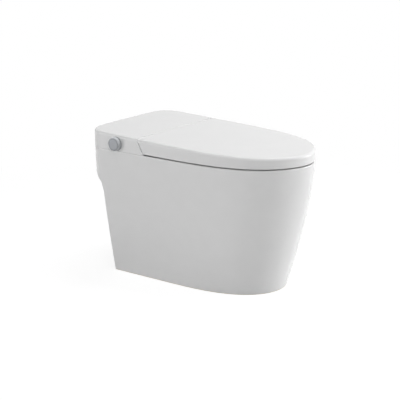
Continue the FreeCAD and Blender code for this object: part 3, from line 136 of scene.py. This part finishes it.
# Bolts, screws, hinge pins, the knob's shaft, the encoder bracket and the motor cans are steel with a
# bright zinc plating. Drawing and turning leave fine lines, drawn here 0.6 mm apart so that they show, and
# the plating clouds a little.
DRAWN_LINE = 0.0006
DRAWN_LENGTH = 0.0333
ZINC_CLOUD = 0.0111
ZINC_RELIEF = 0.00003
zinc, place = finish("zinc_plated_steel")
drawn = node(zinc, "Mapping", {"Vector": place, "Scale": (1 / DRAWN_LENGTH, 1 / DRAWN_LINE, 1 / DRAWN_LINE)})
scratch = node(zinc, "TexNoise", {"Vector": drawn.outputs["Vector"], "Scale": 1.0, "Detail": 2.0})
line = scratch.outputs["Fac"]
cloud = node(zinc, "TexNoise", {"Vector": place, "Scale": 1 / ZINC_CLOUD, "Detail": 3.0}).outputs["Fac"]
tone = node(zinc, "MixRGB", {"Fac": cloud, "Color1": linear("#B4B6B8"), "Color2": linear("#CDCECF")})
rough = node(zinc, "MapRange", {"Value": line, "To Min": 0.22, "To Max": 0.42}).outputs["Result"]
relief = node(zinc, "Bump", {"Height": line, "Strength": 0.2, "Distance": ZINC_RELIEF})
shade = node(zinc, "BsdfPrincipled", {"Base Color": tone.outputs["Color"], "Metallic": 1.0,
                                      "Roughness": rough, "Normal": relief.outputs["Normal"]})
dress(zinc, shade, "chassis_bolts", "cover_screws", "hinge_pins", "knob_shaft", "encoder_bracket",
      "nozzle_motor", "blower_motor", "flush_motor")


# The wand, its cradle, the dryer's duct and flap, the valves, the hinge arms, the lid's liner and the
# seat's floor are moulded in white polypropylene. The mould is spark-eroded, which leaves an even satin
# grain. The real grain is about 0.3 mm and is drawn at 1 mm, because finer would not show.
SPARK_GRAIN = 0.001
COLOUR_DRIFT = 0.111
SPARK_RELIEF = 0.00004
satin, place = finish("spark_textured_polypropylene")
grain = node(satin, "TexNoise", {"Vector": place, "Scale": 1 / SPARK_GRAIN, "Detail": 2.0}).outputs["Fac"]
drift = node(satin, "TexNoise", {"Vector": place, "Scale": 1 / COLOUR_DRIFT, "Detail": 1.0}).outputs["Fac"]
tone = node(satin, "MixRGB", {"Fac": drift, "Color1": linear("#E7E7E6"), "Color2": linear("#E2E2E0")})
rough = node(satin, "MapRange", {"Value": grain, "To Min": 0.36, "To Max": 0.5}).outputs["Result"]
relief = node(satin, "Bump", {"Height": grain, "Strength": 0.25, "Distance": SPARK_RELIEF})
shade = node(satin, "BsdfPrincipled", {"Base Color": tone.outputs["Color"], "Roughness": rough, "IOR": 1.49,
                                       "Normal": relief.outputs["Normal"]})
dress(satin, shade, "nozzle_wand", "nozzle_cradle", "dryer_duct", "dryer_flap", "wash_valve", "inlet_valve",
      "lid_arms", "seat_arms", "lid_liner", "seat_base")


# The pump case, blower case, water heater, power supply, control tray, encoder, pinion, push slide and
# cable gland are black nylon mouldings with a fine matt texture. Its raised grain is painted slightly grey,
# a painted highlight. The texture is drawn at 1.2 mm so that it shows.
BLACK_GRAIN = 0.0012
BLACK_RELIEF = 0.00006
black, place = finish("textured_black_nylon")
grain = node(black, "TexNoise", {"Vector": place, "Scale": 1 / BLACK_GRAIN, "Detail": 2.0}).outputs["Fac"]
# The raised grain is painted greyer here: a painted highlight.
tone = node(black, "MixRGB", {"Fac": grain, "Color1": linear("#1C1D1F"), "Color2": linear("#2A2B2D")})
rough = node(black, "MapRange", {"Value": grain, "To Min": 0.4, "To Max": 0.58}).outputs["Result"]
relief = node(black, "Bump", {"Height": grain, "Strength": 0.3, "Distance": BLACK_RELIEF})
shade = node(black, "BsdfPrincipled", {"Base Color": tone.outputs["Color"], "Roughness": rough, "IOR": 1.53,
                                       "Normal": relief.outputs["Normal"]})
dress(black, shade, "flush_pump", "blower_housing", "water_heater", "power_supply", "control_case", "encoder",
      "nozzle_pinion", "push_slider", "cable_gland")


# The hoses are milky PVC with a woven yarn under the skin, pushed over their stubs. The yarn is two sets of
# diagonal threads about 3 mm apart. At a scale of 0.32 the wave texture draws about one thread to a unit.
YARN = 0.003
YARN_WAVE = 0.32
YARN_TURN = 0.8
YARN_TILT = 0.6
YARN_RELIEF = 0.0001
hose, place = finish("braided_pvc_hose")
threads = []
for turn in (YARN_TURN, -YARN_TURN):
    across = node(hose, "Mapping", {"Vector": place, "Rotation": (turn, YARN_TILT, turn),
                                    "Scale": (1 / YARN,) * 3})
    thread = node(hose, "TexWave", {"Vector": across.outputs["Vector"], "Scale": YARN_WAVE})
    threads.append(thread.outputs["Fac"])
yarn = node(hose, "Math", {0: threads[0], 1: threads[1]}, operation="MAXIMUM").outputs["Value"]
tone = node(hose, "MixRGB", {"Fac": yarn, "Color1": linear("#C9CFCF"), "Color2": linear("#E6EAEA")})
relief = node(hose, "Bump", {"Height": yarn, "Strength": 0.3, "Distance": YARN_RELIEF})
shade = node(hose, "BsdfPrincipled", {"Base Color": tone.outputs["Color"], "Roughness": 0.25, "IOR": 1.53,
                                      "Transmission Weight": 0.25, "Normal": relief.outputs["Normal"]})
dress(hose, shade, "warm_hose", "cold_hose", "supply_hose", "flush_pipe")


# The water inlet is a turned brass tail with an outside thread for the supply hose. Tool marks run round
# its upright axis, drawn 0.5 mm apart so that they show.
TURNED_LINE = 0.0005
TURNED_LENGTH = 0.025
BRASS_RELIEF = 0.00004
brass, place = finish("turned_brass")
rings = node(brass, "Mapping", {"Vector": place,
                                "Scale": (1 / TURNED_LENGTH, 1 / TURNED_LENGTH, 1 / TURNED_LINE)})
mark = node(brass, "TexNoise", {"Vector": rings.outputs["Vector"], "Scale": 1.0, "Detail": 2.0})
line = mark.outputs["Fac"]
tone = node(brass, "MixRGB", {"Fac": line, "Color1": linear("#B98E42"), "Color2": linear("#D2AE63")})
rough = node(brass, "MapRange", {"Value": line, "To Min": 0.2, "To Max": 0.36}).outputs["Result"]
relief = node(brass, "Bump", {"Height": line, "Strength": 0.3, "Distance": BRASS_RELIEF})
shade = node(brass, "BsdfPrincipled", {"Base Color": tone.outputs["Color"], "Metallic": 1.0,
                                       "Roughness": rough, "Normal": relief.outputs["Normal"]})
dress(brass, shade, "inlet_fitting")


# The control board is green glass-epoxy laminate. Copper tracks about 3 mm apart show through the solder
# mask as lighter lines.
TRACK_STEP = 0.003
board, place = finish("solder_masked_laminate")
track = node(board, "TexBrick", {"Vector": place, "Scale": 1 / TRACK_STEP, "Color1": linear("#135A30"),
                                 "Color2": linear("#176537"), "Mortar": linear("#2B8A50"),
                                 "Mortar Size": 0.06, "Brick Width": 2.6, "Row Height": 1.0})
shade = node(board, "BsdfPrincipled", {"Base Color": track.outputs["Color"], "Roughness": 0.32})
dress(board, shade, "control_board")


# The rear cover, the seat's upper shell and the lid are injection-moulded in white gloss plastic from a
# polished mould. The skin is very even, with long faint waves where the plastic shrank over the ribs.
SHRINK_WAVE = 0.06
MOULD_POLISH = 0.004
SHRINK_RELIEF = 0.00008
shell, place = finish("polished_white_plastic")
sink = node(shell, "TexNoise", {"Vector": place, "Scale": 1 / SHRINK_WAVE, "Detail": 1.0}).outputs["Fac"]
polish = node(shell, "TexNoise", {"Vector": place, "Scale": 1 / MOULD_POLISH, "Detail": 1.0}).outputs["Fac"]
tone = node(shell, "MixRGB", {"Fac": sink, "Color1": linear("#F0F0F0"), "Color2": linear("#EDEDED")})
rough = node(shell, "MapRange", {"Value": polish, "To Min": 0.2, "To Max": 0.27}).outputs["Result"]
relief = node(shell, "Bump", {"Height": sink, "Strength": 0.4, "Distance": SHRINK_RELIEF})
shade = node(shell, "BsdfPrincipled", {"Base Color": tone.outputs["Color"], "Roughness": rough, "IOR": 1.49,
                                       "Normal": relief.outputs["Normal"]})
dress(shell, shade, "rear_cover", "seat_top", "lid_shell")


# The knob and its collar are turned and plated in satin chrome, and so is the wand's tip. The knob's face
# is spun grey, so fine rings run round its axis, drawn 0.9 mm apart, wider than the real ones. Its rounded
# shoulder is darkened with painted shade, and its side is blasted matt and painted paler with painted light.
SPUN_RING = 0.0009
SPUN_RELIEF = 0.00004
AXIAL_SHARE = 0.15
FACE_R = 0.0155
FACE_SOFT = 0.0006
SIDE_R = 0.0194
SIDE_SOFT = 0.0003
low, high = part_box("knob_cap")
axle = (low + high) / 2
chrome, place = finish("spun_satin_chrome")
centred = node(chrome, "VectorMath", {0: place, 1: axle}, operation="SUBTRACT").outputs["Vector"]
flat = node(chrome, "VectorMath", {0: centred, 1: (AXIAL_SHARE, 1.0, 1.0)}, operation="MULTIPLY")
reach = node(chrome, "VectorMath", {0: flat.outputs["Vector"]}, operation="LENGTH").outputs["Value"]
ring = node(chrome, "Math", {0: reach, 1: 1 / SPUN_RING}, operation="MULTIPLY").outputs["Value"]
turned = node(chrome, "TexNoise", {"W": ring, "Scale": 1.0, "Detail": 2.0}, noise_dimensions="1D")
spun = turned.outputs["Fac"]
# This mask paints the rounded shoulder darker: painted shade.
painted_shade_shoulder = node(chrome, "MapRange", {"Value": reach, "From Min": FACE_R - FACE_SOFT,
                                     "From Max": FACE_R + FACE_SOFT}).outputs["Result"]
# This mask makes the side matt and paints it paler: painted light.
matt_and_painted_light_side = node(chrome, "MapRange", {"Value": reach, "From Min": SIDE_R - SIDE_SOFT,
                                 "From Max": SIDE_R + SIDE_SOFT}).outputs["Result"]
face = node(chrome, "MixRGB", {"Fac": spun, "Color1": linear("#797B7E"), "Color2": linear("#8C8E91")})
painted_shade_edge = node(chrome, "MixRGB", {"Fac": painted_shade_shoulder, "Color1": face.outputs["Color"], "Color2": linear("#737578")})
# The pale #BEC0C2 on the side is painted light.
tone = node(chrome, "MixRGB", {"Fac": matt_and_painted_light_side, "Color1": painted_shade_edge.outputs["Color"], "Color2": linear("#BEC0C2")})
sheen = node(chrome, "MapRange", {"Value": spun, "To Min": 0.34, "To Max": 0.46}).outputs["Result"]
rough = node(chrome, "Mix", {"Factor": matt_and_painted_light_side, "A": sheen, "B": 0.95}).outputs["Result"]
relief = node(chrome, "Bump", {"Height": spun, "Strength": 0.3, "Distance": SPUN_RELIEF})
shade = node(chrome, "BsdfPrincipled", {"Base Color": tone.outputs["Color"], "Metallic": 1.0,
                                        "Roughness": rough, "Normal": relief.outputs["Normal"]})
dress(chrome, shade, "knob_cap", "knob_bushing", "nozzle_tip")


# The seat's heater is a thin aluminium foil with the heating wire laid under it in loops 9 mm apart, stuck
# to the underside of the seat's shell. The foil creases as it is laid.
WIRE_STEP = 0.009
WIRE_WAVE = 0.314
FOIL_CREASE = 0.00625
FOIL_RELIEF = 0.0004
foil, place = finish("heating_foil")
loops = node(foil, "TexWave", {"Vector": place, "Scale": WIRE_WAVE / WIRE_STEP, "Distortion": 0.6})
crease = node(foil, "TexNoise", {"Vector": place, "Scale": 1 / FOIL_CREASE, "Detail": 3.0}).outputs["Fac"]
ridge = node(foil, "Math", {0: loops.outputs["Fac"], 1: crease}, operation="ADD").outputs["Value"]
rough = node(foil, "MapRange", {"Value": crease, "To Min": 0.25, "To Max": 0.45}).outputs["Result"]
relief = node(foil, "Bump", {"Height": ridge, "Strength": 0.5, "Distance": FOIL_RELIEF})
shade = node(foil, "BsdfPrincipled", {"Base Color": linear("#D3D5D6"), "Metallic": 1.0, "Roughness": rough,
                                      "Normal": relief.outputs["Normal"]})
dress(foil, shade, "seat_heater")


# Lid and seat land on moulded buffers of white silicone, pressed into their undersides. The rubber lets a
# little light in, so it looks milky. Its fine matt grain is drawn at 2 mm so that it shows.
SILICONE_GRAIN = 0.002
LIGHT_DEPTH = 0.003
silicone, place = finish("white_silicone")
grain = node(silicone, "TexNoise", {"Vector": place, "Scale": 1 / SILICONE_GRAIN, "Detail": 2.0})
milk = grain.outputs["Fac"]
tone = node(silicone, "MixRGB", {"Fac": milk, "Color1": linear("#DDDDD9"), "Color2": linear("#E4E4E1")})
rough = node(silicone, "MapRange", {"Value": milk, "To Min": 0.5, "To Max": 0.65}).outputs["Result"]
shade = node(silicone, "BsdfPrincipled", {"Base Color": tone.outputs["Color"], "Roughness": rough,
                                          "IOR": 1.41, "Subsurface Weight": 0.2,
                                          "Subsurface Radius": (LIGHT_DEPTH,) * 3})
dress(silicone, shade, "lid_bumpers", "seat_bumpers")


# The floor is plain white studio board. To the camera and in reflections it fades to the white of the
# background away from the object, and near the object it keeps a faint shadow.
FLOOR_HALF = 9.0
FLOOR_DROP = 0.0005
SHADOW_REACH = 0.75


def shown_rays(owner):
    ray = node(owner, "LightPath", {}).outputs
    seen = node(owner, "Math", {0: ray["Is Camera Ray"], 1: ray["Is Glossy Ray"]}, operation="ADD")
    both = {0: seen.outputs["Value"], 1: ray["Is Transmission Ray"]}
    return node(owner, "Math", both, operation="ADD", use_clamp=True).outputs["Value"]


board_mesh = bmesh.new()
bmesh.ops.create_grid(board_mesh, x_segments=1, y_segments=1, size=FLOOR_HALF)
bmesh.ops.translate(board_mesh, verts=board_mesh.verts, vec=(0.0, 0.0, -FLOOR_DROP))
floor = bpy.data.objects.new("studio_floor", bpy.data.meshes.new("studio_floor"))
board_mesh.to_mesh(floor.data)
board_mesh.free()
bpy.context.scene.collection.objects.link(floor)
floor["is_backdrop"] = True

studio, place = finish("white_studio_board")
away = node(studio, "VectorMath", {0: place}, operation="LENGTH").outputs["Value"]
fade = node(studio, "MapRange", {"Value": away, "From Min": SHADOW_REACH, "From Max": 2 * SHADOW_REACH})
matt = node(studio, "BsdfDiffuse", {"Color": linear("#E8E8E8")})
faint = node(studio, "BsdfDiffuse", {"Color": linear("#8A8A8A")})
glow = node(studio, "Emission", {"Color": linear("#FFFFFF"), "Strength": 0.86})
white = node(studio, "Emission", {"Color": linear("#FFFFFF"), "Strength": 1.0})
near = node(studio, "AddShader", {0: faint.outputs["BSDF"], 1: glow.outputs["Emission"]})
shown = node(studio, "MixShader", {"Fac": fade.outputs["Result"], 1: near.outputs["Shader"],
                                   2: white.outputs["Emission"]})
whole = node(studio, "MixShader", {"Fac": shown_rays(studio), 1: matt.outputs["BSDF"],
                                   2: shown.outputs["Shader"]})
node(studio, "OutputMaterial", {"Surface": whole.outputs["Shader"]})
floor.data.materials.append(studio)


# The studio is a white room: it shows as white behind the object and in its reflections, and gives a little
# soft fill. Large soft lamps stand round the object, each named for where it stands. Their figures are
# degrees round from the front, degrees up, and watts.
FILL = 0.02
room = bpy.data.worlds.new("white_room")
room.use_nodes = True
room.node_tree.nodes.clear()
strength = node(room, "MapRange", {"Value": shown_rays(room), "To Min": FILL, "To Max": 1.0})
wall = node(room, "Background", {"Color": linear("#FFFFFF"), "Strength": strength.outputs["Result"]})
node(room, "OutputWorld", {"Surface": wall.outputs["Background"]})
bpy.context.scene.world = room


def stand(data, target, around, up, distance):
    around, up = math.radians(around), math.radians(up)
    toward = Vector((math.sin(around) * math.cos(up), -math.cos(around) * math.cos(up), math.sin(up)))
    made = bpy.data.objects.new(data.name, data)
    made.location = target + toward * distance
    made.rotation_mode = "QUATERNION"
    made.rotation_quaternion = toward.to_track_quat("Z", "Y")
    bpy.context.scene.collection.objects.link(made)
    return made


LAMP_DISTANCE = 3.0
LAMP_SIZE = 1.6
LAMPS = (
    ("lamp_right_front_high", 30, 45, 19.5),
    ("lamp_right_front_low", 45, 8, 45.0),
    ("lamp_right_high", 90, 70, 32.0),
    ("lamp_rear_left_low", 225, 8, 22.0),
    ("lamp_left", 270, 25, 6.5),
    ("lamp_left_high", 270, 70, 10.0),
    ("lamp_left_front", 315, 35, 18.3),
)
middle = (cad_low + cad_high) / 2
for name, around, up, power in LAMPS:
    light = bpy.data.lights.new(name, "AREA")
    light.size = LAMP_SIZE
    light.energy = power
    lamp = stand(light, middle, around, up, LAMP_DISTANCE)
    lamp.visible_camera = False


# The camera stands in front of the knob side, a little above the lid, and looks at the middle of the
# object. Its angles are in degrees and its lens and film in millimetres.
AZIMUTH = -52.716
ELEVATION = 15.608
DISTANCE = 4.1681
LOOK_AT = Vector((-0.00087, -0.00055, 0.22932))
FOCAL_LENGTH = 120.812
FILM_WIDTH = 36.0
camera = bpy.data.cameras.new("camera")
camera.lens = FOCAL_LENGTH
camera.sensor_width = FILM_WIDTH
bpy.context.scene.camera = stand(camera, LOOK_AT, AZIMUTH, ELEVATION, DISTANCE)


low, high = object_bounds()
